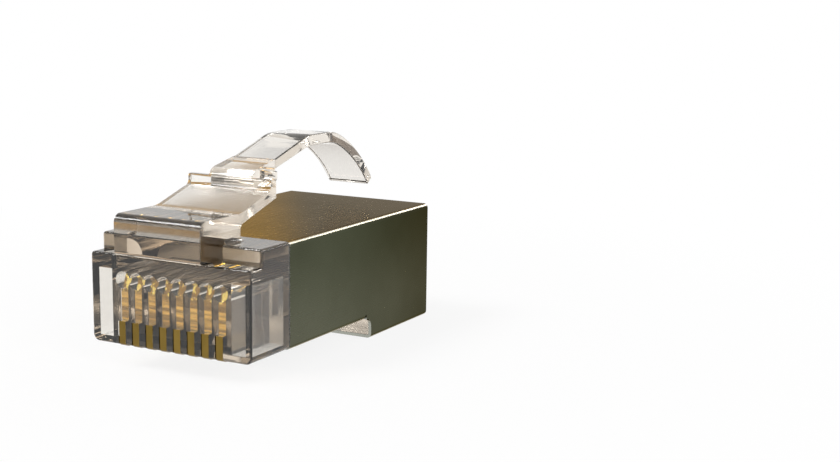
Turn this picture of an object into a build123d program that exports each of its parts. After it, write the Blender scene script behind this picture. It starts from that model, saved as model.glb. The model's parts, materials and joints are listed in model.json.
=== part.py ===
"""Shielded 8-position modular plug with a flexing latch.

Modelling frame, millimetres: X across the plug, Y from the nose face towards the cable,
Z up from the underside of the nose, with the latch on top. PLACE then moves every node so
that the origin is the middle of the plug's box, at its lowest point.
"""
import os
from math import cos, radians, sin, tan

from build123d import *

# Body, as a plug of this standard size
BODY_WIDTH = 11.68
BODY_LENGTH = 21.7
NOSE_HEIGHT = 6.6
REAR_START = 13.8          # from the nose face to the step on the underside
REAR_DROP = 1.4            # how far the rear part reaches below the nose
LEDGE_DEPTH = 1.1          # the nose's front ledge, under the latch root
LEDGE_DROP = 1.05
EDGE_RADIUS = 0.45         # long lower edges of the nose
TOP_RADIUS = 0.2           # long upper edges of the nose
NOSE_RADIUS = 0.15         # edges round the nose face

# Folded shield
SHIELD_START = 4.03
SHEET = 0.2
FOLD_RADIUS = 0.32         # outer radius of the long folds
SHIELD_GAP = 0.02          # between the sheet and the housing
SEAM_GAP = 0.15
STEP_RADIUS = 0.6          # inner corner of each side plate, at the step
FLAP_RELIEF = 0.15         # between the front flaps and the round of that corner

# Cable cavity, wire chamber and wire channels
SIDE_WALL = 0.6
TOP_WALL = 1.0
FLOOR_WALL = 0.9
CAVITY_START = 11.0
CAVITY_RADIUS = 1.0
MOUTH_CHAMFER = 0.3
CHAMBER_START = 8.2        # flat chamber between the cavity and the row of channels
CHAMBER_RADIUS = 0.3
CHANNEL_START = 0.35       # the front wall that the wires butt against
CHANNEL_DIAMETER = 1.06
CHANNEL_ROOF = 1.05        # plastic between the channels and the ledge

# Hollows each side of the row of slots, cored out from the cavity
COMB_WALL = 0.5            # between the last slot and the hollow
HOLLOW_START = 0.3
HOLLOW_WALL = 0.5          # side wall of the nose
HOLLOW_FLOOR = 0.42
HOLLOW_ROOF = 0.95         # plastic between the hollows and the ledge
HOLLOW_LENGTH = 3.3
DUCT_WIDTH = 0.45          # the duct that joins a hollow to the cavity, along its side wall

# Strain relief bar in the floor of the cavity
RELIEF_START = 15.4
RELIEF_LENGTH = 3.4
RELIEF_WIDTH = 6.0
RELIEF_GAP = 0.25
RELIEF_WEB = 0.3           # thickness of the web that the bar bends on
RELIEF_TOOTH = 0.35        # how far the bar stands into the cavity

# Contact blades
CONTACT_COUNT = 8
CONTACT_PITCH = 1.02
BLADE_THICKNESS = 0.52
BLADE_GAP = 0.02           # between a blade and its slot
BLADE_START = 0.05         # from the nose face to the blade's front edge
BLADE_LENGTH = 3.3
BLADE_PROUD = 0.1          # how far a blade stands out of the underside
BASE_HEIGHT = 1.55         # the wide base that the jack's wires touch
BASE_RADIUS = 0.3
FRONT_SHOULDER = 0.6
REAR_SHOULDER = 0.2
BLADE_SHANK = 1.95         # from the base to the shoulders under the tines
SHANK_TAPER = 0.6
TINE_BITE = 0.82           # how far the tines reach into a channel
TINE_NOTCH = 0.5           # depth of the notch between the two tines

# Latch root block
LATCH_WIDTH = 6.2
ROOT_OVERHANG = 1.07       # in front of the nose face
ROOT_LIFT = 0.15           # the overhang's underside above the ledge
ROOT_HEIGHT = 1.6          # above the top of the nose
ROOT_RADIUS = 0.55

# Latch arm with its two shoulders
ARM_START = 2.9            # from the nose face to the living hinge
ARM_THICKNESS = 0.66
ARM_RISE = 17.0            # degrees
HINGE_GAP = 0.02
SHOULDER_START = 6.12
SHOULDER_DEPTH = 0.6
SHOULDER_HEIGHT = 3.22     # its top above the top of the nose
SHOULDER_RADIUS = 0.18
RAMP_RADIUS = 0.35         # where the ramp meets the shoulders

# Middle of the latch: the riser and the keel below it
TAIL_WIDTH = 3.2
RISER_RADIUS = 0.9
SADDLE_START = 8.85        # from the nose face to where the tail bends
SADDLE_HEIGHT = 4.12       # above the top of the nose
SADDLE_RISE = 11.5         # degrees
KEEL_OVERHANG = 0.25       # the keel's lobe past the saddle
KEEL_RADIUS = 0.3
NOTCH_DEPTH = 0.75         # from the saddle down to the notch above the lobe

# Tail that curves back down over the body
TAIL_RISE = 17.0           # degrees
TAIL_THICKNESS = 0.56
HOOK_THICKNESS = 0.72
CREST_HEIGHT = 5.32        # above the top of the nose
CREST_END = 15.2           # from the nose face
BEND_RADIUS = 4.5
BEND_ANGLE = 24.0          # degrees
HOOK_RADIUS = 10.5
HOOK_ANGLE = 53.5          # degrees from level at the tip
CREST_RADIUS = 4.0
TIP_RADIUS = 0.2

# Places worked out from the sizes above
LINER = SHEET + SHIELD_GAP
LEDGE_Z = NOSE_HEIGHT - LEDGE_DROP
FLOOR_Z = LINER + FLOOR_WALL - REAR_DROP
CEILING_Z = NOSE_HEIGHT - LINER - TOP_WALL
CAVITY_WIDTH = BODY_WIDTH - 2 * (LINER + SIDE_WALL)
CHANNEL_RADIUS = CHANNEL_DIAMETER / 2
CHANNEL_Z = LEDGE_Z - CHANNEL_ROOF - CHANNEL_RADIUS
SLOT_WIDTH = BLADE_THICKNESS + 2 * BLADE_GAP
COMB_HALF = (CONTACT_COUNT - 1) / 2 * CONTACT_PITCH + SLOT_WIDTH / 2 + COMB_WALL
BASE_TOP = BASE_HEIGHT - BLADE_PROUD
ARM_RADIUS = ARM_THICKNESS / 2
ROOT_TOP = NOSE_HEIGHT + ROOT_HEIGHT
ARM_Z = ROOT_TOP - ARM_RADIUS
SHOULDER_END = SHOULDER_START + SHOULDER_DEPTH
TAIL_RADIUS = TAIL_THICKNESS / 2
SADDLE_Z = NOSE_HEIGHT + SADDLE_HEIGHT
TAIL_Z = SADDLE_Z - TAIL_RADIUS
CREST_Z = NOSE_HEIGHT + CREST_HEIGHT
PAST = 1.0                 # how far a cut runs past the face that it opens

PLACE = Pos(0, (ROOT_OVERHANG - BODY_LENGTH) / 2, REAR_DROP)


def cross_section(y, width, low, high, radius):
    """Rounded rectangle across the plug, at one place along it."""
    plane = Plane(origin=(0, y, (low + high) / 2), x_dir=(1, 0, 0), z_dir=(0, 1, 0))
    return plane * RectangleRounded(width, high - low, radius)


def bar(start, end, width, low, high, radius):
    """Bar along the plug with rounded long edges."""
    return extrude(cross_section(start, width, low, high, radius), amount=end - start)


def nose_bar(start, high):
    """Length of the nose up to the shield, rounded more below than above."""
    solid = block((-BODY_WIDTH / 2, BODY_WIDTH / 2), (start, SHIELD_START), (0, high))
    edges = solid.edges().filter_by(Axis.Y).sort_by(Axis.Z)
    solid = fillet(edges[:2], EDGE_RADIUS)
    edges = solid.edges().filter_by(Axis.Y).sort_by(Axis.Z)
    return front_rounded(fillet(edges[-2:], TOP_RADIUS), NOSE_RADIUS)


def block(x_span, y_span, z_span):
    """Plain box from its limits along X, Y and Z."""
    corner = Pos(x_span[0], y_span[0], z_span[0])
    size = (x_span[1] - x_span[0], y_span[1] - y_span[0], z_span[1] - z_span[0])
    return corner * Box(*size, align=(Align.MIN, Align.MIN, Align.MIN))


def side_plate(profile, width, x=0.0):
    """A profile drawn in Y and Z, made equally thick each side of x."""
    return Pos(x, 0, 0) * extrude(Plane.YZ * profile, amount=width / 2, both=True)


def outline(points, rounds=()):
    """Closed profile through (y, z) points; rounds pairs a point's number with a radius."""
    face = make_face(Polyline(*points, close=True))
    for number, radius in rounds:
        nearest = face.vertices().sort_by_distance((*points[number], 0))[0]
        face = fillet(nearest, radius)
    return face


def barrel(y, z, radius, width):
    """Round root of a flexing part, across the plug."""
    return Pos(0, y, z) * Rot(0, 90, 0) * Cylinder(radius, width)


def front_rounded(solid, radius):
    """Rounds the edges of a bar's front face."""
    return fillet(solid.faces().sort_by(Axis.Y)[0].edges(), radius)


def contact_x(number):
    return (number - (CONTACT_COUNT - 1) / 2) * CONTACT_PITCH


def blade_profile():
    """Contact blade seen from the side: base, shank and two tines."""
    front = BLADE_START
    rear = BLADE_START + BLADE_LENGTH
    shank_front = front + FRONT_SHOULDER
    shank_rear = rear - REAR_SHOULDER
    shank_top = BASE_TOP + BLADE_SHANK
    tine_front = shank_front + SHANK_TAPER / 6
    tine_rear = shank_rear - SHANK_TAPER
    tip = CHANNEL_Z - CHANNEL_RADIUS + TINE_BITE
    tine = (tine_rear - tine_front) / 4
    points = [
        (front, -BLADE_PROUD),
        (rear, -BLADE_PROUD),
        (rear, BASE_TOP),
        (shank_rear, BASE_TOP),
        (shank_rear, shank_top),
        (tine_rear - tine / 2, tip),
        (tine_front + 2 * tine, tip - TINE_NOTCH),
        (tine_front + tine / 2, tip),
        (shank_front, shank_top),
        (shank_front, BASE_TOP),
        (front, BASE_TOP),
    ]
    return outline(points, [(0, BASE_RADIUS), (1, BASE_RADIUS)])


def blade_slot_profile():
    """Slot for one blade: open below and at the nose, and up into the wire channel."""
    rear = BLADE_START + BLADE_LENGTH + BLADE_GAP
    shank_front = BLADE_START + FRONT_SHOULDER - BLADE_GAP
    points = [
        (-PAST, -PAST),
        (rear, -PAST),
        (rear, BASE_TOP + BLADE_GAP),
        (rear - REAR_SHOULDER, BASE_TOP + BLADE_GAP),
        (rear - REAR_SHOULDER, CHANNEL_Z),
        (shank_front, CHANNEL_Z),
        (shank_front, BASE_TOP + BLADE_GAP),
        (-PAST, BASE_TOP + BLADE_GAP),
    ]
    return outline(points)


def housing_shell():
    """Outer form of the moulding: nose, ledge, and the part set in under the shield."""
    nose = nose_bar(0, LEDGE_Z) + nose_bar(LEDGE_DEPTH, NOSE_HEIGHT)
    width = BODY_WIDTH - 2 * LINER
    high = NOSE_HEIGHT - LINER
    radius = FOLD_RADIUS - LINER
    middle = bar(SHIELD_START - PAST, BODY_LENGTH, width, LINER, high, radius)
    rear = bar(REAR_START, BODY_LENGTH, width, LINER - REAR_DROP, high, radius)
    return nose + middle + rear


def root_block():
    """Solid block that the latch grows from, with the socket for the arm's root."""
    low = LEDGE_Z + ROOT_LIFT
    points = [
        (-ROOT_OVERHANG, low),
        (-ROOT_OVERHANG, ROOT_TOP),
        (ARM_START, ROOT_TOP),
        (ARM_START, LEDGE_Z - NOSE_RADIUS),
        (NOSE_RADIUS, LEDGE_Z - NOSE_RADIUS),
        (NOSE_RADIUS, low),
    ]
    solid = side_plate(outline(points, [(1, ROOT_RADIUS)]), LATCH_WIDTH)
    return solid - barrel(ARM_START, ARM_Z, ARM_RADIUS + HINGE_GAP, LATCH_WIDTH + PAST)


def cavity_mouth():
    """Lead-in round the rear end of the cavity."""
    flare = MOUTH_CHAMFER
    inner = cross_section(BODY_LENGTH - flare, CAVITY_WIDTH, FLOOR_Z, CEILING_Z, CAVITY_RADIUS)
    outer = cross_section(BODY_LENGTH, CAVITY_WIDTH + 2 * flare, FLOOR_Z - flare,
                          CEILING_Z + flare, CAVITY_RADIUS + flare)
    return loft([inner, outer])


def cable_cavity():
    """Cavity open at the rear, and the flat chamber that the wires cross to their channels."""
    cavity = bar(CAVITY_START, BODY_LENGTH + PAST, CAVITY_WIDTH, FLOOR_Z, CEILING_Z, CAVITY_RADIUS)
    half = BODY_WIDTH / 2
    step = block((-half, half), (0, REAR_START + FLOOR_WALL), (-REAR_DROP, LINER + FLOOR_WALL))
    cavity -= step
    row_width = (CONTACT_COUNT - 1) * CONTACT_PITCH + CHANNEL_DIAMETER
    row_low = CHANNEL_Z - CHANNEL_RADIUS
    row_high = CHANNEL_Z + CHANNEL_RADIUS
    chamber = bar(CHAMBER_START, CAVITY_START + PAST, row_width, row_low, row_high, CHAMBER_RADIUS)
    return cavity + chamber + cavity_mouth()


def side_hollow(side):
    """Hollow in the nose beside the slots, and the duct that joins it to the cavity."""
    low = HOLLOW_FLOOR
    high = LEDGE_Z - HOLLOW_ROOF
    end = HOLLOW_START + HOLLOW_LENGTH
    solid = block((COMB_HALF, BODY_WIDTH / 2 - HOLLOW_WALL), (HOLLOW_START, end), (low, high))
    outer = CAVITY_WIDTH / 2
    solid += block((outer - DUCT_WIDTH, outer), (end, CAVITY_START + CAVITY_RADIUS),
                   (LINER + FLOOR_WALL + CAVITY_RADIUS, CEILING_Z - CAVITY_RADIUS))
    return solid if side > 0 else mirror(solid, about=Plane.YZ)


def wire_channel(x):
    length = CHAMBER_START - CHANNEL_START + PAST / 2
    middle = CHANNEL_START + length / 2
    return Pos(x, middle, CHANNEL_Z) * Rot(90, 0, 0) * Cylinder(CHANNEL_RADIUS, length)


def relief_bar():
    """Bar in the cavity's floor that is pressed onto the cable; it bends on a thin web."""
    bottom = LINER - REAR_DROP
    end = RELIEF_START + RELIEF_LENGTH
    points = [
        (RELIEF_START - RELIEF_GAP, bottom),
        (end - RELIEF_GAP, bottom),
        (end - RELIEF_GAP, FLOOR_Z + RELIEF_TOOTH),
        (end - RELIEF_LENGTH / 3, FLOOR_Z + RELIEF_TOOTH),
        (RELIEF_START + 2 * RELIEF_GAP, bottom + RELIEF_WEB),
        (RELIEF_START - RELIEF_GAP, bottom + RELIEF_WEB),
    ]
    return side_plate(outline(points), RELIEF_WIDTH - 2 * RELIEF_GAP)


def relief_window(margin):
    """Opening in the floor round the strain relief bar."""
    half = RELIEF_WIDTH / 2 + margin
    y_span = (RELIEF_START - margin, RELIEF_START + RELIEF_LENGTH + margin)
    return block((-half, half), y_span, (-REAR_DROP - PAST, FLOOR_Z))


def make_housing():
    solid = housing_shell() + root_block() - cable_cavity()
    for number in range(CONTACT_COUNT):
        x = contact_x(number)
        solid -= wire_channel(x)
        solid -= side_plate(blade_slot_profile(), SLOT_WIDTH, x)
    for side in (-1, 1):
        solid -= side_hollow(side)
    solid -= relief_window(0)
    return solid + relief_bar()


def make_contact(number):
    return side_plate(blade_profile(), BLADE_THICKNESS, contact_x(number))


def shield_body(inset):
    """Form of the sleeve at its outer face, or set in to its inner face."""
    width = BODY_WIDTH - 2 * inset
    high = NOSE_HEIGHT - inset
    radius = FOLD_RADIUS - inset
    past = PAST if inset else 0
    front = bar(SHIELD_START - past, BODY_LENGTH + past, width, inset, high, radius)
    rear = bar(REAR_START, BODY_LENGTH + past, width, inset - REAR_DROP, high, radius)
    return front + rear


def corner_web(side):
    """Flat corner of a side plate at the step, with its round."""
    corner = outline([
        (REAR_START - STEP_RADIUS, -STEP_RADIUS),
        (REAR_START + SHEET, -STEP_RADIUS),
        (REAR_START + SHEET, 2 * FOLD_RADIUS),
        (REAR_START - STEP_RADIUS, 2 * FOLD_RADIUS),
    ])
    corner -= Pos(REAR_START - STEP_RADIUS, -STEP_RADIUS) * Circle(STEP_RADIUS)
    return side_plate(corner, SHEET, side * (BODY_WIDTH - SHEET) / 2)


def make_shield():
    """One folded sheet: top, two side plates, and four flaps that meet at the seam."""
    solid = shield_body(0) - shield_body(SHEET)
    relief = REAR_START - STEP_RADIUS - FLAP_RELIEF
    wide = BODY_WIDTH / 2 + PAST
    solid -= block((-wide, wide), (relief, REAR_START), (-PAST, FOLD_RADIUS))
    for side in (-1, 1):
        solid += corner_web(side)
    seam = (-SEAM_GAP / 2, SEAM_GAP / 2)
    solid -= block(seam, (0, BODY_LENGTH + PAST), (-REAR_DROP - PAST, FOLD_RADIUS))
    return solid - relief_window(SHEET)


def arm_line(y, side):
    """Height of the arm's top (side 1) or underside (side -1) at a place along it."""
    rise = radians(ARM_RISE)
    return ARM_Z + (y - ARM_START) * tan(rise) + side * ARM_RADIUS / cos(rise)


def arm_profile():
    """Wide part of the arm, up to the locking faces of the shoulders."""
    rise = radians(ARM_RISE)
    top = NOSE_HEIGHT + SHOULDER_HEIGHT
    points = [
        (ARM_START + ARM_RADIUS * sin(rise), ARM_Z - ARM_RADIUS * cos(rise)),
        (SHOULDER_END, arm_line(SHOULDER_END, -1)),
        (SHOULDER_END, top),
        (SHOULDER_START, top),
        (SHOULDER_START, arm_line(SHOULDER_START, 1)),
        (ARM_START - ARM_RADIUS * sin(rise), ARM_Z + ARM_RADIUS * cos(rise)),
    ]
    return outline(points, [(2, SHOULDER_RADIUS), (3, SHOULDER_RADIUS), (4, RAMP_RADIUS)])


def riser_profile():
    """Middle of the latch: riser above the ramp, saddle, and keel below."""
    keel_end = SADDLE_START + KEEL_OVERHANG
    notch = SADDLE_Z - NOTCH_DEPTH
    front_top = SADDLE_Z - (SADDLE_START - SHOULDER_START) * tan(radians(SADDLE_RISE))
    points = [
        (SHOULDER_START, arm_line(SHOULDER_START, -1)),
        (keel_end, arm_line(keel_end, -1)),
        (keel_end, notch - KEEL_OVERHANG),
        (SADDLE_START, notch),
        (SADDLE_START, SADDLE_Z),
        (SHOULDER_START, front_top),
    ]
    return outline(points, [(1, KEEL_RADIUS), (5, RISER_RADIUS)])


def make_latch_arm():
    solid = side_plate(arm_profile(), LATCH_WIDTH)
    solid += barrel(ARM_START, ARM_Z, ARM_RADIUS, LATCH_WIDTH)
    solid += side_plate(riser_profile(), TAIL_WIDTH)
    return solid - barrel(SADDLE_START, TAIL_Z, TAIL_RADIUS + HINGE_GAP, TAIL_WIDTH + PAST)


def polar(centre, radius, angle):
    """Point at an angle from straight up, turning towards the cable."""
    turn = radians(angle)
    return (centre[0] + radius * sin(turn), centre[1] + radius * cos(turn))


def tail_profile():
    """Ramp, level crest and two arcs of growing radius, down to the tip."""
    rise = radians(TAIL_RISE)
    top_start = polar((SADDLE_START, TAIL_Z), TAIL_RADIUS, -TAIL_RISE)
    low_start = polar((SADDLE_START, TAIL_Z), -TAIL_RADIUS, -TAIL_RISE)
    crest_start = top_start[0] + (CREST_Z - top_start[1]) / tan(rise)
    bend = (CREST_END, CREST_Z - BEND_RADIUS)
    bend_end = polar(bend, BEND_RADIUS, BEND_ANGLE)
    hook = polar(bend_end, -HOOK_RADIUS, BEND_ANGLE)
    middle = (BEND_ANGLE + HOOK_ANGLE) / 2
    inner_bend = BEND_RADIUS - HOOK_THICKNESS
    inner_hook = HOOK_RADIUS - HOOK_THICKNESS
    inner_crest = CREST_Z - HOOK_THICKNESS
    low_crest = low_start[0] + (inner_crest - low_start[1]) / tan(rise)
    edges = [
        Line(top_start, (crest_start, CREST_Z)),
        Line((crest_start, CREST_Z), (CREST_END, CREST_Z)),
        ThreePointArc((CREST_END, CREST_Z), polar(bend, BEND_RADIUS, BEND_ANGLE / 2), bend_end),
        ThreePointArc(bend_end, polar(hook, HOOK_RADIUS, middle), polar(hook, HOOK_RADIUS, HOOK_ANGLE)),
        Line(polar(hook, HOOK_RADIUS, HOOK_ANGLE), polar(hook, inner_hook, HOOK_ANGLE)),
        ThreePointArc(polar(hook, inner_hook, HOOK_ANGLE), polar(hook, inner_hook, middle),
                      polar(bend, inner_bend, BEND_ANGLE)),
        ThreePointArc(polar(bend, inner_bend, BEND_ANGLE), polar(bend, inner_bend, BEND_ANGLE / 2),
                      (CREST_END, inner_crest)),
        Line((CREST_END, inner_crest), (low_crest, inner_crest)),
        Line((low_crest, inner_crest), low_start),
        Line(low_start, top_start),
    ]
    face = make_face(edges)
    rounds = [
        ((crest_start, CREST_Z), CREST_RADIUS),
        ((low_crest, inner_crest), CREST_RADIUS),
        (polar(hook, HOOK_RADIUS, HOOK_ANGLE), TIP_RADIUS),
        (polar(hook, inner_hook, HOOK_ANGLE), TIP_RADIUS),
    ]
    for place, radius in rounds:
        nearest = face.vertices().sort_by_distance((*place, 0))[0]
        face = fillet(nearest, radius)
    return face


def make_latch_tail():
    tail = side_plate(tail_profile(), TAIL_WIDTH)
    return tail + barrel(SADDLE_START, TAIL_Z, TAIL_RADIUS, TAIL_WIDTH)


nodes = {
    "housing": make_housing(),
    "shield": make_shield(),
    "latch_arm": make_latch_arm(),
    "latch_tail": make_latch_tail(),
}
for contact in range(CONTACT_COUNT):
    nodes[f"contact_{contact + 1}"] = make_contact(contact)

os.makedirs("parts", exist_ok=True)
for name, solid in nodes.items():
    export_step(PLACE * solid, f"parts/{name}.step")
    print(name, "solids", len(solid.solids()), "volume", round(solid.volume, 3))
print("arm hinge", (PLACE * Pos(0, ARM_START, ARM_Z)).position)
print("tail hinge", (PLACE * Pos(0, SADDLE_START, TAIL_Z)).position)
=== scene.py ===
import json
from math import cos, pi, radians, sin, tan
import bmesh
import bpy
from mathutils import Matrix, Vector


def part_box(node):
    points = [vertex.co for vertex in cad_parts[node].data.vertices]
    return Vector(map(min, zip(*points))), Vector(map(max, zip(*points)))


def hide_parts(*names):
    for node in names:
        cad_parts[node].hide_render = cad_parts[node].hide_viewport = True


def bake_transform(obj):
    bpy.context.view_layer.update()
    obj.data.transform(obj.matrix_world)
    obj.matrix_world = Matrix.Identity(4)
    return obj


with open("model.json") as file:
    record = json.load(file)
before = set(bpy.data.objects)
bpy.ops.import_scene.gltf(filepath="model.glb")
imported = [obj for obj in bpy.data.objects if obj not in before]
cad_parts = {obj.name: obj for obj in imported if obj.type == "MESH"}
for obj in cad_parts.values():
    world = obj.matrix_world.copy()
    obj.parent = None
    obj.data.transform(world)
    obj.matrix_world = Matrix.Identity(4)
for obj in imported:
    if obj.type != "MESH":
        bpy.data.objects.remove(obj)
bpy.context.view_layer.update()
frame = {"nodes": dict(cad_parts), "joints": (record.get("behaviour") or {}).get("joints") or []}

# Housing and latch arm
# One clear polycarbonate moulding: the nose with its eight contact slots, the hollow rear part, and the
# latch that grows out of the root block over the nose. It is injection moulded in one shot, with small
# rounds on its outer edges. The cored faces and the latch's underside are less polished than the rest.
MM = 0.001
hinge = Vector(frame["joints"][0]["pos_m"]) / MM
saddle = Vector(frame["joints"][1]["pos_m"]) / MM
root_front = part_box("housing")[0].y / MM
latch_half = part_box("latch_arm")[1].x / MM
tail_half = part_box("latch_tail")[1].x / MM

nose_face = root_front + 1.07
nose_top = 8.0
ledge_top = 6.95
ledge_depth = 1.1
root_top = nose_top + 1.6
root_foot = ledge_top + 0.15
foot_step = nose_face + 0.15     # behind this the root block stands on the ledge
foot_sink = 0.3                  # how far it is sunk into the ledge there
arm_rise = radians(17)
arm_depth = 0.69                 # measured straight up through the sloping arm
arm_under = root_top - arm_depth
ear_front = nose_face + 6.12
ear_rear = ear_front + 0.6
ear_top = nose_top + 3.22
ramp_height = (ear_front - hinge.y) * tan(arm_rise)
ear_height = (ear_rear - ear_front) * tan(arm_rise)
saddle_top = nose_top + 4.12
saddle_rise = radians(11.5)
keel_reach = 0.25
notch_drop = 0.75

crown_round = 0.55
lip_round = 0.28
hinge_round = 0.3
ramp_round = 0.26
ear_round = 0.16
riser_round = 0.73
keel_round = 0.2
foot_fillet = 0.3
fine_round = 0.09


def select_only(piece):
    bpy.ops.object.select_all(action="DESELECT")
    piece.select_set(True)
    bpy.context.view_layer.objects.active = piece


def billet(name, low, high):
    """Cube primitive set between two corners, in millimetres."""
    low, high = Vector(low) * MM, Vector(high) * MM
    bpy.ops.object.select_all(action="DESELECT")
    bpy.ops.mesh.primitive_cube_add(size=1, location=(low + high) / 2)
    piece = bpy.context.object
    piece.name = piece.data.name = name
    piece.scale = high - low
    bpy.ops.object.transform_apply(location=True, rotation=True, scale=True)
    return piece


def open_faces(piece, wanted):
    """Opens the piece in edit mode with only the faces chosen by their middle (mm) and normal."""
    select_only(piece)
    bpy.ops.object.mode_set(mode="EDIT")
    bpy.ops.mesh.select_mode(type="FACE")
    bpy.ops.mesh.select_all(action="DESELECT")
    mesh = bmesh.from_edit_mesh(piece.data)
    for face in mesh.faces:
        if wanted(face.calc_center_median() / MM, face.normal):
            face.select_set(True)
    bmesh.update_edit_mesh(piece.data)


def bevel_edges(piece, radius, steps, wanted):
    """Bevels the edges that wanted picks from the edge itself and its two ends, in millimetres."""
    select_only(piece)
    bpy.ops.object.mode_set(mode="EDIT")
    bpy.ops.mesh.select_mode(type="EDGE")
    bpy.ops.mesh.select_all(action="DESELECT")
    mesh = bmesh.from_edit_mesh(piece.data)
    for edge in mesh.edges:
        start, end = (corner.co / MM for corner in edge.verts)
        if wanted(edge, start, end):
            edge.select_set(True)
    bmesh.update_edit_mesh(piece.data)
    bpy.ops.mesh.bevel(offset=radius * MM, segments=steps, affect="EDGES", clamp_overlap=True)
    bpy.ops.object.mode_set(mode="OBJECT")


def round_across(piece, radius, steps, wanted):
    """Rounds the edges that run across the plug and whose middle is where wanted says."""
    bevel_edges(
        piece, radius, steps,
        lambda edge, start, end: abs((end - start).normalized().x) > 0.9 and wanted((start + end) / 2),
    )


def round_sharp(piece, radius, steps, wanted):
    """Rounds the sharp edges whose middle is where wanted says."""
    bevel_edges(
        piece, radius, steps,
        lambda edge, start, end: len(edge.link_faces) == 2
        and edge.calc_face_angle(0) > radians(35)
        and wanted((start + end) / 2),
    )


def near(value, place):
    return abs(value - place) < 0.02


def plane_cut(piece, place, normal, drop=False):
    """Scores the piece along a plane, or drops what lies past it and closes the cut."""
    select_only(piece)
    bpy.ops.object.mode_set(mode="EDIT")
    bpy.ops.mesh.select_all(action="SELECT")
    bpy.ops.mesh.bisect(
        plane_co=Vector(place) * MM, plane_no=normal, use_fill=drop, clear_outer=drop, threshold=1e-7
    )
    bpy.ops.object.mode_set(mode="OBJECT")


def combine(piece, other, operation):
    """Joins the other piece on, or cuts it out, and removes it."""
    select_only(piece)
    step = piece.modifiers.new("combine", "BOOLEAN")
    step.operation, step.solver, step.object = operation, "EXACT", other
    bpy.ops.object.modifier_apply(modifier=step.name)
    bpy.data.objects.remove(other)


def extrude_by(x, y, z):
    bpy.ops.mesh.extrude_region_move(TRANSFORM_OT_translate={"value": Vector((x, y, z)) * MM})


def leave_edit():
    bpy.ops.object.mode_set(mode="OBJECT")


# the root block, and the arm drawn out of its rear face up to the ears
latch = billet("clear_moulding", (-latch_half, root_front, root_foot), (latch_half, hinge.y, root_top))
plane_cut(latch, (0, foot_step, 0), (0, 1, 0))
open_faces(latch, lambda middle, normal: normal.z < -0.9 and middle.y > foot_step)
extrude_by(0, 0, ledge_top - foot_sink - root_foot)
leave_edit()
plane_cut(latch, (0, 0, arm_under), (0, 0, 1))
open_faces(latch, lambda middle, normal: normal.y > 0.9 and middle.z > arm_under)
extrude_by(0, ear_front - hinge.y, ramp_height)
extrude_by(0, ear_rear - ear_front, ear_height)
leave_edit()
open_faces(latch, lambda middle, normal: normal.z > 0.5 and ear_front < middle.y < ear_rear)
extrude_by(0, 0, 1)
bpy.ops.transform.resize(value=(1, 1, 0), center_override=(0, 0, ear_top * MM))
leave_edit()
round_across(latch, crown_round, 8, lambda m: near(m.y, root_front) and near(m.z, root_top))
round_across(latch, lip_round, 6, lambda m: near(m.y, root_front) and near(m.z, root_foot))
round_across(latch, hinge_round, 6, lambda m: near(m.y, hinge.y) and m.z > arm_under - 0.02)
round_across(latch, ramp_round, 6, lambda m: near(m.y, ear_front) and near(m.z, root_top + ramp_height))
round_across(latch, ear_round, 5, lambda m: near(m.z, ear_top))

# the riser in the middle, with its saddle and the keel below
riser_foot = arm_under + ramp_height
notch = saddle_top - notch_drop
riser = billet("riser", (-tail_half, ear_front, riser_foot), (tail_half, saddle.y, saddle_top))
plane_cut(riser, (0, saddle.y, saddle_top), (0, -tan(saddle_rise), 1), drop=True)
plane_cut(riser, (0, ear_front, riser_foot), (0, tan(arm_rise), -1), drop=True)
round_across(riser, riser_round, 10, lambda m: near(m.y, ear_front) and m.z > ear_top)
plane_cut(riser, (0, 0, notch), (0, 0, 1))
open_faces(riser, lambda middle, normal: normal.y > 0.9 and middle.z < notch)
extrude_by(0, keel_reach, keel_reach * tan(arm_rise) / 2)
leave_edit()
round_across(riser, keel_round, 5, lambda m: near(m.y, saddle.y + keel_reach))
combine(latch, riser, "UNION")

# the housing's own mesh, with the root block taken off and the new one joined on
housing = frame["nodes"]["housing"]
moulding = housing.copy()
moulding.data = housing.data.copy()
bpy.context.scene.collection.objects.link(moulding)
moulding.parent = None
moulding.matrix_world = Matrix.Identity(4)
for key in list(moulding.keys()):
    del moulding[key]
select_only(moulding)
bpy.ops.object.mode_set(mode="EDIT")
bpy.ops.mesh.select_all(action="SELECT")
bpy.ops.mesh.remove_doubles(threshold=1e-7)
bpy.ops.mesh.dissolve_limited(angle_limit=radians(0.4))
leave_edit()
cut_half = latch_half + 0.2
cut_past = 1
for low, high in (
    ((-cut_half, root_front - cut_past, nose_top), (cut_half, hinge.y + cut_past, root_top + cut_past)),
    ((-cut_half, root_front - cut_past, ledge_top), (cut_half, nose_face + ledge_depth, nose_top + cut_past)),
):
    combine(moulding, billet("cutter", low, high), "DIFFERENCE")
combine(moulding, latch, "UNION")

# hollow fillets where the root block's sides run down into the top of the nose
bead_sink = 0.1
bead_start = nose_face + ledge_depth + 0.16
bead_end = hinge.y - 0.01
for side in (-1, 1):
    inner = side * (latch_half - bead_sink)
    outer = side * (latch_half + foot_fillet)
    bead = billet(
        "bead",
        (min(inner, outer), bead_start, nose_top - bead_sink),
        (max(inner, outer), bead_end, nose_top + foot_fillet),
    )
    bpy.ops.object.select_all(action="DESELECT")
    bpy.ops.mesh.primitive_cylinder_add(
        vertices=48,
        radius=(foot_fillet - 0.004) * MM,
        depth=6 * MM,
        rotation=(pi / 2, 0, 0),
        location=Vector((outer, bead_start + 2, nose_top + foot_fillet)) * MM,
    )
    cutter = bpy.context.object
    bpy.ops.object.transform_apply(location=True, rotation=True, scale=True)
    combine(bead, cutter, "DIFFERENCE")
    combine(moulding, bead, "UNION")
moulding.name = moulding.data.name = "clear_moulding"
select_only(moulding)
bpy.ops.object.mode_set(mode="EDIT")
bpy.ops.mesh.select_all(action="SELECT")
bpy.ops.mesh.remove_doubles(threshold=2e-7)
leave_edit()


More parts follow.
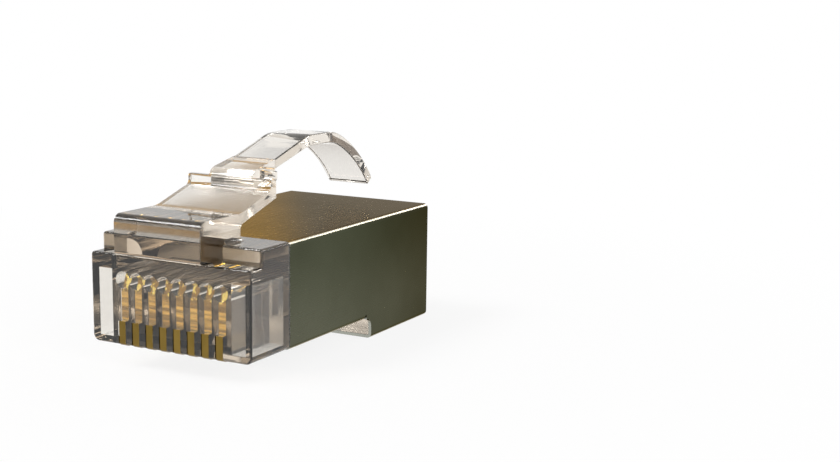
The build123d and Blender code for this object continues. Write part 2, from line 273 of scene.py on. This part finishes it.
def polish(piece):
    """Smooth shading over the rounds, with the flat faces kept flat."""
    select_only(piece)
    bpy.ops.object.shade_smooth_by_angle(angle=radians(32))
    step = piece.modifiers.new("flats", "WEIGHTED_NORMAL")
    step.keep_sharp, step.weight = True, 100
    bpy.ops.object.modifier_apply(modifier=step.name)
    mesh = piece.data
    normals = [corner.vector.copy() for corner in mesh.corner_normals]
    for face in mesh.polygons:
        for loop in face.loop_indices:
            if normals[loop].angle(face.normal, 0) > radians(17):
                normals[loop] = face.normal.copy()
    mesh.normals_split_custom_set(normals)


round_sharp(moulding, fine_round, 3, lambda m: m.z > nose_top + 0.02 or m.y < nose_face - 0.02)
polish(moulding)


def new_material(name):
    material = bpy.data.materials.new(name)
    material.use_nodes = True
    tree = material.node_tree
    return material, tree, tree.nodes["Principled BSDF"]


def set_inputs(tree, node, values):
    """Gives each named input a number, a colour or another node's output."""
    for name, value in values.items():
        socket = node.inputs[name]
        if isinstance(value, bpy.types.NodeSocket):
            tree.links.new(value, socket)
        elif socket.type == "RGBA":
            socket.default_value = (*value, 1)
        else:
            socket.default_value = value


def add(tree, kind, values):
    node = tree.nodes.new(kind)
    set_inputs(tree, node, values)
    return node


def maths(tree, operation, first, second, clamp=False):
    step = tree.nodes.new("ShaderNodeMath")
    step.operation, step.use_clamp = operation, clamp
    set_inputs(tree, step, {0: first, 1: second})
    return step.outputs[0]


def product(tree, *values):
    result = values[0]
    for value in values[1:]:
        result = maths(tree, "MULTIPLY", result, value)
    return result


def ranged(tree, value, low, high, to_low=0.0, to_high=1.0, smooth=True):
    """Maps a value from one range to another, by default to a soft mask from 0 to 1."""
    span = tree.nodes.new("ShaderNodeMapRange")
    span.interpolation_type = "SMOOTHSTEP" if smooth else "LINEAR"
    limits = {"Value": value, "From Min": low, "From Max": high, "To Min": to_low, "To Max": to_high}
    set_inputs(tree, span, limits)
    return span.outputs["Result"]


def mixed(tree, factor, first, second):
    blend = tree.nodes.new("ShaderNodeMix")
    blend.data_type = "RGBA"
    set_inputs(tree, blend, {"Factor": factor, 6: first, 7: second})
    return blend.outputs[2]


def noise(tree, vector, scale, detail, stretch=(1, 1, 1)):
    turn = add(tree, "ShaderNodeMapping", {"Vector": vector, "Scale": stretch})
    cloud = add(
        tree, "ShaderNodeTexNoise", {"Vector": turn.outputs["Vector"], "Scale": scale, "Detail": detail}
    )
    return cloud.outputs["Fac"]


def along_axes(tree, vector, unsigned=False):
    """The X, Y and Z of a vector, or their sizes without sign."""
    if unsigned:
        plain = tree.nodes.new("ShaderNodeVectorMath")
        plain.operation = "ABSOLUTE"
        set_inputs(tree, plain, {0: vector})
        vector = plain.outputs[0]
    return add(tree, "ShaderNodeSeparateXYZ", {"Vector": vector}).outputs


def place_on(tree):
    return tree.nodes.new("ShaderNodeTexCoord").outputs["Object"]


def facing(tree):
    return tree.nodes.new("ShaderNodeNewGeometry").outputs["True Normal"]


clear, tree, shader = new_material("clear_polycarbonate")
place = place_on(tree)
x, y, z = along_axes(tree, place)
from_middle = along_axes(tree, place, unsigned=True)[0]
flow = noise(tree, place, 260, 2)
haze = ranged(tree, flow, 0, 1, 0.01, 0.05)

# the hollows' walls inside the nose and the rear part
deep = ranged(tree, y, (nose_face + 2) * MM, (nose_face + 3.5) * MM)
between_sides = ranged(tree, from_middle, 5.6 * MM, 5.5 * MM)
below_roof = ranged(tree, z, 7.8 * MM, 7.7 * MM)
cored = product(tree, deep, between_sides, below_roof)

# the underside of the arm and the rear of the root block
turned = along_axes(tree, facing(tree))[0]
not_a_side = ranged(tree, product(tree, turned, turned), 0.4, 0.3)
arm_middle = (root_top - arm_depth * 0.6 - hinge.y * tan(arm_rise)) * MM
above_slope = maths(tree, "ADD", z, product(tree, y, -tan(arm_rise)))
below_arm = ranged(tree, above_slope, arm_middle, arm_middle - 0.03 * MM)
above_nose = ranged(tree, z, (nose_top + 0.05) * MM, (nose_top + 0.1) * MM)
past_root = ranged(tree, y, (hinge.y - 0.15) * MM, (hinge.y - 0.1) * MM)
before_tail = ranged(tree, y, (saddle.y - 0.1) * MM, (saddle.y - 0.15) * MM)
underneath = product(tree, not_a_side, below_arm, above_nose, past_root, before_tail)

frost = product(tree, maths(tree, "MAXIMUM", cored, underneath), 0.24)
ripple = add(tree, "ShaderNodeBump", {"Height": flow, "Strength": 0.05, "Distance": 0.04 * MM})
set_inputs(tree, shader, {
    "Base Color": (0.95, 0.935, 0.905),
    "Transmission Weight": 1,
    "IOR": 1.585,
    "Roughness": maths(tree, "MAXIMUM", haze, frost),
    "Normal": ripple.outputs["Normal"],
})
lit_through = add(tree, "ShaderNodeBsdfTransparent", {"Color": (0.93, 0.92, 0.9)})
ray = tree.nodes.new("ShaderNodeLightPath")
surface = add(tree, "ShaderNodeMixShader", {
    "Fac": ray.outputs["Is Shadow Ray"], 1: shader.outputs["BSDF"], 2: lit_through.outputs["BSDF"],
})
depth_tint = add(tree, "ShaderNodeVolumeAbsorption", {"Color": (0.8, 0.66, 0.47), "Density": 95})
set_inputs(tree, tree.nodes["Material Output"], {
    "Surface": surface.outputs["Shader"], "Volume": depth_tint.outputs["Volume"],
})


def dress(piece, material):
    piece.data.materials.clear()
    piece.data.materials.append(material)


dress(moulding, clear)
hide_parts("housing", "latch_arm")
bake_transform(moulding)

# Latch tail
# The springy tail is part of the same clear moulding: a flat ramp from the saddle, a level crest and a
# hook that curves back down over the body, so that a cable can't catch under it. In the real part it flexes
# at the saddle; here it is a piece of its own that ends just short of the saddle.
tail_rise = radians(17)
tail_root = 0.56                 # thickness at the saddle
tail_thick = 0.72                # thickness from the crest to the tip
tail_gap = 0.02                  # between the tail's end and the saddle
plain_root = 0.3                 # length at the saddle that keeps its sharp edges
crest = nose_top + 5.32
crest_end = nose_face + 15.2
crest_radius = 4
bend_radius, bend_turn = 4.5, radians(24)
hook_radius, hook_turn = 10.5, radians(29.5)
crest_start = saddle.y + (crest - saddle_top) / tan(tail_rise) + crest_radius * tan(tail_rise / 2)
tail = billet(
    "latch_tail_piece", (-tail_half, crest_start, crest - tail_thick), (tail_half, crest_end, crest)
)


def bend_on(radius, turn, steps, way):
    """Spins the chosen end face downwards round a centre under its top edge."""
    mesh = bmesh.from_edit_mesh(tail.data)
    end_face = [face for face in mesh.faces if face.select][0]
    top = max((corner.co for corner in end_face.verts), key=lambda co: co.z)
    under = Vector((0, end_face.normal.z, -end_face.normal.y)) * way
    centre = Vector((0, top.y, top.z)) + under * radius * MM
    bpy.ops.mesh.spin(steps=steps, angle=turn, center=centre, axis=(way, 0, 0), use_auto_merge=False)


open_faces(tail, lambda middle, normal: normal.y > 0.9)
bend_on(bend_radius, bend_turn, 10, 1)
bend_on(hook_radius, hook_turn, 16, 1)
leave_edit()
open_faces(tail, lambda middle, normal: normal.y < -0.9)
bend_on(crest_radius, tail_rise, 8, -1)
ramp_run = saddle.y - crest_start
extrude_by(0, ramp_run, ramp_run * tan(tail_rise))

# the ramp's underside comes up at the saddle, where the tail is thinner
slim = tail_thick - tail_root
bpy.ops.mesh.select_mode(type="VERT")
mesh = bmesh.from_edit_mesh(tail.data)
foot = min(corner.co.z for corner in mesh.verts if corner.select)
for corner in mesh.verts:
    corner.select_set(corner.select and corner.co.z < foot + 0.1 * MM)
bmesh.update_edit_mesh(tail.data)
bpy.ops.transform.translate(value=(0, -slim * sin(tail_rise) * MM, slim * cos(tail_rise) * MM))
bpy.ops.mesh.select_mode(type="FACE")
bpy.ops.mesh.select_all(action="SELECT")
bpy.ops.mesh.remove_doubles(threshold=1e-7)
bpy.ops.mesh.normals_make_consistent(inside=False)
leave_edit()
plane_cut(tail, (0, saddle.y + tail_gap, 0), (0, -1, 0), drop=True)
round_sharp(tail, fine_round, 3, lambda m: m.y > saddle.y + plain_root)
polish(tail)
dress(tail, clear)
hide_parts("latch_tail")
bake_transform(tail)

# Contacts
# Eight blades stamped from phosphor bronze strip and plated with gold over nickel. Each is pressed into its
# slot from below, until its tines stand in the wire channel and its wide base is between the ribs. The bases'
# gold is painted dark as painted shade, the shanks and tines carry painted glints, and the blades' broad
# faces are painted darker as painted shade.
# painted shade: the bases' gold is painted dark for the dim reflections they show, with a mottle through it
shaded_base_gold = (0.13, 0.085, 0.018), (0.3, 0.2, 0.05)
# painted glints: bright bands across the shanks and bright beads on the tines
shank_glint_gold = (0.28, 0.15, 0.02), (0.82, 0.5, 0.1)
tine_glint_gold = (0.36, 0.2, 0.018), (1, 0.78, 0.2)
# painted shade: the blades' broad faces, which face across the plug, are painted darker
shaded_broad_face = (0.13, 0.09, 0.045)

gold, tree, shader = new_material("gold_plate")
place = place_on(tree)
x, y, z = along_axes(tree, place)
turned = along_axes(tree, facing(tree))[0]
mottle = noise(tree, place, 900, 4)
strokes = noise(tree, place, 3500, 2, (0.05, 0.05, 1))
beads = noise(tree, place, 3400, 1, (1, 1, 0.5))
above_base = ranged(tree, z, 2.8 * MM, 3 * MM)
at_tines = ranged(tree, z, 4.6 * MM, 4.8 * MM)
# painted shade on the faces turned across the plug
on_shaded_face = ranged(tree, product(tree, turned, turned), 0.4, 0.6)
# the bases' painted shade
shaded_base_tone = mixed(tree, mottle, *shaded_base_gold)
# painted highlight: glint bands on the shanks and glints on the tines
shank_glint_tone = mixed(tree, ranged(tree, strokes, 0.35, 0.65), *shank_glint_gold)
tine_glint_tone = mixed(tree, ranged(tree, beads, 0.5, 0.57), *tine_glint_gold)
upper_tone = mixed(tree, on_shaded_face, mixed(tree, at_tines, shank_glint_tone, tine_glint_tone), shaded_broad_face)
stamped = add(tree, "ShaderNodeBump", {
    "Height": mixed(tree, at_tines, strokes, beads),
    "Strength": ranged(tree, at_tines, 0, 1, 0.3, 0.9, False),
    "Distance": 0.05 * MM,
})
set_inputs(tree, shader, {
    "Metallic": 1,
    "Base Color": mixed(tree, above_base, shaded_base_tone, upper_tone),
    "Roughness": ranged(tree, mottle, 0, 1, 0.14, 0.3, False),
    "Normal": stamped.outputs["Normal"],
})
for number in range(1, 9):
    dress(frame["nodes"][f"contact_{number}"], gold)

# Shield
# One blank of nickel plated copper alloy sheet, 0.2 mm thick, folded round the housing with its seam on the
# underside. It is brushed along the plug. Its colour holds painted light: a painted highlight along the
# folds, a painted reflection that turns from gold at the top's front left to grey further back, and painted
# shade on the sides and the rear.
# painted reflection on the top: golden at the front left, grey towards the rear
reflected_top_front, reflected_top_rear = (0.57, 0.345, 0.1), (0.22, 0.185, 0.16)
# painted shade on the sides and the rear: lighter low down, darker high up
shaded_side_low, shaded_side_high = (0.125, 0.13, 0.098), (0.08, 0.088, 0.063)
shaded_rear_low, shaded_rear_high = (0.09, 0.09, 0.068), (0.05, 0.05, 0.036)
# painted highlight along the folds
fold_highlight = (0.9, 0.85, 0.72)
cut_front = (0.42, 0.43, 0.38)
lining = (0.85, 0.78, 0.66)

plate, tree, shader = new_material("nickel_plate")
place = place_on(tree)
x, y, z = along_axes(tree, place)
normal = facing(tree)
turned_x, turned_y, turned_z = along_axes(tree, normal)
flat_x, flat_y, flat_z = along_axes(tree, normal, unsigned=True)
stain = noise(tree, place, 130, 3)
grain = noise(tree, place, 9000, 3, (1, 0.03, 1))

# the top carries a painted reflection that changes along and across it, and the sides painted shade that
# changes along and up them
slant = maths(tree, "ADD", product(tree, x, 0.83), product(tree, y, 0.57))
painted_top_reflection = mixed(tree, ranged(tree, slant, -1.2 * MM, 3.4 * MM), reflected_top_front, reflected_top_rear)
# painted shade: the walls darken upwards and towards the rear
upwards = ranged(tree, z, 1 * MM, 8 * MM)
shaded_side_tone = mixed(tree, upwards, shaded_side_low, shaded_side_high)
shaded_rear_tone = mixed(tree, upwards, shaded_rear_low, shaded_rear_high)
walls = mixed(tree, ranged(tree, y, 0, 12 * MM), shaded_side_tone, shaded_rear_tone)
tone = mixed(tree, ranged(tree, turned_z, 0.75, 0.97), walls, painted_top_reflection)

# the folds carry a painted highlight, the front-facing edge is lighter, and the sheet's inner face is plain
# and dull
# painted highlight on the folds, where the true normal lies between the axes
squareness = maths(tree, "MAXIMUM", flat_x, maths(tree, "MAXIMUM", flat_y, flat_z))
with_fold_highlight = mixed(tree, ranged(tree, squareness, 0.84, 0.76), tone, fold_highlight)
edged = mixed(tree, ranged(tree, turned_y, -0.7, -0.95), with_fold_highlight, cut_front)
height = maths(tree, "SUBTRACT", z, 4.5 * MM)
outwards = maths(tree, "ADD", product(tree, turned_x, x), product(tree, turned_z, height))
inside = ranged(tree, outwards, -1.5 * MM, -2.5 * MM)
shade = add(tree, "ShaderNodeHueSaturation", {
    "Color": mixed(tree, inside, edged, lining), "Value": ranged(tree, stain, 0.3, 0.7, 0.9, 1.1),
})
brushed = ranged(tree, grain, 0.2, 0.8, 0.24, 0.3, False)
set_inputs(tree, shader, {
    "Metallic": 1,
    "Specular Tint": (0.36, 0.33, 0.26),
    "Base Color": shade.outputs["Color"],
    "Roughness": maths(tree, "MAXIMUM", brushed, product(tree, inside, 0.55)),
})
dress(frame["nodes"]["shield"], plate)

# Table, backdrop, lamps and camera
# The plug lies on a plain table. The camera sees the table and the backdrop white, reflections also show a
# warm grey ceiling, and two soft lamps in front and a long one behind light the plug.
white = (1, 1, 1)
bpy.ops.object.select_all(action="DESELECT")
bpy.ops.mesh.primitive_plane_add(size=6, location=(0, 0, 0))
table = bpy.context.object
table.name = "table"
table_paint, tree, shader = new_material("white_table")
set_inputs(tree, shader, {"Base Color": (0.86, 0.86, 0.86), "Roughness": 0.6, "Specular IOR Level": 0.1})
bright = add(tree, "ShaderNodeEmission", {"Color": white})
ray = tree.nodes.new("ShaderNodeLightPath")
seen = maths(tree, "ADD", ray.outputs["Is Camera Ray"], ray.outputs["Is Glossy Ray"])
seen = maths(tree, "ADD", seen, ray.outputs["Is Transmission Ray"], clamp=True)
reach = tree.nodes.new("ShaderNodeVectorMath")
reach.operation = "LENGTH"
set_inputs(tree, reach, {0: place_on(tree)})
fading = ranged(tree, reach.outputs["Value"], 15 * MM, 60 * MM, 0.86, 1)
surface = add(tree, "ShaderNodeMixShader", {
    "Fac": product(tree, seen, fading), 1: shader.outputs["BSDF"], 2: bright.outputs["Emission"],
})
set_inputs(tree, tree.nodes["Material Output"], {"Surface": surface.outputs["Shader"]})
dress(table, table_paint)

studio = bpy.data.worlds.new("studio")
bpy.context.scene.world = studio
studio.use_nodes = True
tree = studio.node_tree
room = tree.nodes["Background"]
set_inputs(tree, room, {"Color": (0.45, 0.45, 0.45), "Strength": 1})
ceiling = add(tree, "ShaderNodeBackground", {"Color": (0.8, 0.77, 0.73)})
backdrop = add(tree, "ShaderNodeBackground", {"Color": white})
ray = tree.nodes.new("ShaderNodeLightPath")
direction = tree.nodes.new("ShaderNodeTexCoord").outputs["Generated"]
low_sky = ranged(tree, along_axes(tree, direction)[2], 0.35, 0.1, smooth=False)
mirrored = maths(tree, "ADD", ray.outputs["Is Glossy Ray"], ray.outputs["Is Transmission Ray"])
white_behind = maths(
    tree, "ADD", ray.outputs["Is Camera Ray"], product(tree, mirrored, low_sky), clamp=True
)
indoors = add(tree, "ShaderNodeMixShader", {
    "Fac": mirrored, 1: room.outputs["Background"], 2: ceiling.outputs["Background"],
})
surround = add(tree, "ShaderNodeMixShader", {
    "Fac": white_behind, 1: indoors.outputs["Shader"], 2: backdrop.outputs["Background"],
})
set_inputs(tree, tree.nodes["World Output"], {"Surface": surround.outputs["Shader"]})


def soft_lamp(name, place, size, power):
    lamp = bpy.data.lights.new(name, "AREA")
    lamp.shape = "RECTANGLE"
    lamp.size, lamp.size_y = size
    lamp.energy = power
    stand = bpy.data.objects.new(name, lamp)
    bpy.context.scene.collection.objects.link(stand)
    stand.location = place
    stand.rotation_euler = (Vector((0, 0, 0.005)) - Vector(place)).to_track_quat("-Z", "Y").to_euler()


soft_lamp("key", (-0.25, -0.22, 0.4), (0.22, 0.22), 1.6)
soft_lamp("fill", (0.4, -0.1, 0.25), (0.15, 0.25), 0.7)
soft_lamp("strip", (0.1, 0.48, 0.25), (0.4, 0.03), 0.35)

camera = bpy.data.cameras.new("camera")
camera.lens = 58.585
camera.sensor_width = 36
camera.clip_start = 0.001
camera_place = (0.04934, -0.072992, 0.022703)
camera_turn, camera_drop, camera_roll = radians(27.5877), radians(9.9622), radians(0.8377)
stand = bpy.data.objects.new("camera", camera)
bpy.context.scene.collection.objects.link(stand)
stand.matrix_world = (
    Matrix.Translation(camera_place)
    @ Matrix.Rotation(camera_turn, 4, "Z")
    @ Matrix.Rotation(pi / 2 - camera_drop, 4, "X")
    @ Matrix.Rotation(camera_roll, 4, "Z")
)
scene = bpy.context.scene
scene.camera = stand
scene.view_settings.view_transform = "Standard"
scene.cycles.max_bounces = 24
scene.cycles.transmission_bounces = 24
scene.cycles.transparent_max_bounces = 24
